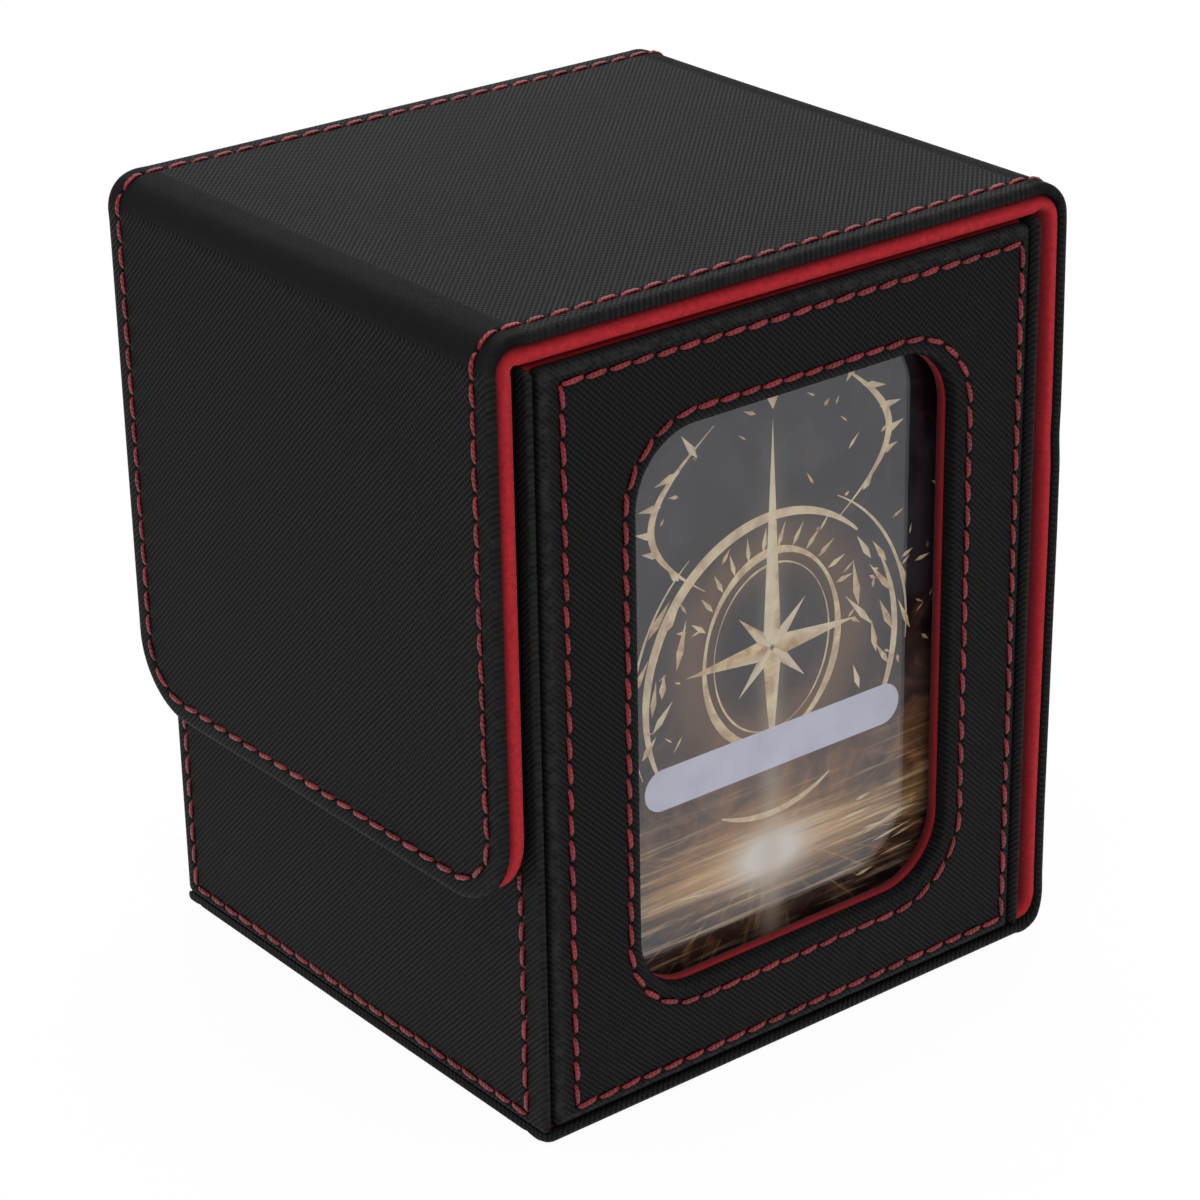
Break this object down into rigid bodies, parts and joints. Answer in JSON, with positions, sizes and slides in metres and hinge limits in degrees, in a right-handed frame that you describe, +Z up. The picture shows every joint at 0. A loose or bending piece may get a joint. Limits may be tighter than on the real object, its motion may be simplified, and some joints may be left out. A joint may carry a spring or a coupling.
{
  "type": "card deck box",
  "caption": "Upright deck box for sleeved trading cards with a clear window for a display card, a wrap-round hinged lid and a magnetic closing flap.",
  "frame": {"origin": "centre of the footprint of the closed box, on the surface it stands on", "axes": "+Z up; the card window faces -Y; the closing flap is on the -X side and the hinge side of the wrap is on +X"},
  "size_m": [0.0874, 0.0786, 0.1024],
  "materials": {
    "black_cover": "fine cross-hatch embossed, satin",
    "red_lining": "short matt microfibre",
    "greyboard": "raw board",
    "red_thread": "twisted polyester, slight sheen",
    "clear_film": "clear gloss",
    "printed_card": "printed in dark tones, in a clear sleeve",
    "steel": "plated",
    "magnet": "nickel plated"
  },
  "bodies": {
    "box": {"left_wall_cover": "black_cover", "left_wall_board": "greyboard", "left_wall_stitching": "red_thread", "left_liner": "red_lining", "left_liner_board": "greyboard", "strike_discs": "steel", "right_wall_cover": "black_cover", "right_wall_board": "greyboard", "right_liner": "red_lining", "right_liner_board": "greyboard", "rear_wall_cover": "black_cover", "rear_wall_board": "greyboard", "rear_wall_stitching": "red_thread", "rear_liner": "red_lining", "rear_liner_board": "greyboard", "base_cover": "black_cover", "base_board": "greyboard", "base_liner": "red_lining", "window_panel_cover": "black_cover", "window_panel_board": "greyboard", "window_panel_stitching": "red_thread", "window_edge_stitching": "red_thread", "front_liner": "red_lining", "front_liner_board": "greyboard", "window_film": "clear_film", "display_card": "printed_card", "pocket_sides": "red_lining", "pocket_board": "greyboard", "pocket_lining": "red_lining", "hinge_leg_cover": "black_cover", "hinge_leg_board": "greyboard", "hinge_leg_lining": "red_lining", "hinge_leg_stitching": "red_thread", "base_bend_cover": "black_cover", "base_wrap_cover": "black_cover", "base_wrap_lining": "red_lining"},
    "hinge_panel": {"hinge_panel_cover": "black_cover", "hinge_panel_board": "greyboard", "hinge_panel_lining": "red_lining", "hinge_panel_stitching": "red_thread", "rear_fold_cover": "black_cover", "rear_fold_lining": "red_lining"},
    "lid": {"lid_cover": "black_cover", "lid_board": "greyboard", "lid_lining": "red_lining", "lid_stitching": "red_thread", "lid_fold_cover": "black_cover", "lid_fold_lining": "red_lining"},
    "flap": {"flap_cover": "black_cover", "flap_board": "greyboard", "flap_lining": "red_lining", "flap_stitching": "red_thread", "flap_magnets": "magnet", "flap_fold_cover": "black_cover", "flap_fold_lining": "red_lining"}
  },
  "joints": [
    {"name": "rear_fold", "type": "hinge", "parent": "box", "child": "hinge_panel", "pos_m": [0.0435, 0, 0.0683], "axis": [0, 1, 0], "range_deg": [0, 45], "deforming": ["rear_fold_cover", "rear_fold_lining"]},
    {"name": "lid_hinge", "type": "hinge", "parent": "hinge_panel", "child": "lid", "pos_m": [0.04253, 0, 0.10123], "axis": [0, 1, 0], "range_deg": [0, 150], "deforming": ["lid_fold_cover", "lid_fold_lining"]},
    {"name": "flap_hinge", "type": "hinge", "parent": "lid", "child": "flap", "pos_m": [-0.04253, 0, 0.10123], "axis": [0, 1, 0], "range_deg": [0, 120], "deforming": ["flap_fold_cover", "flap_fold_lining"]}
  ],
  "couplings": [
    {"joint": "rear_fold", "follows": "lid_hinge", "ratio": 0.3}
  ]
}
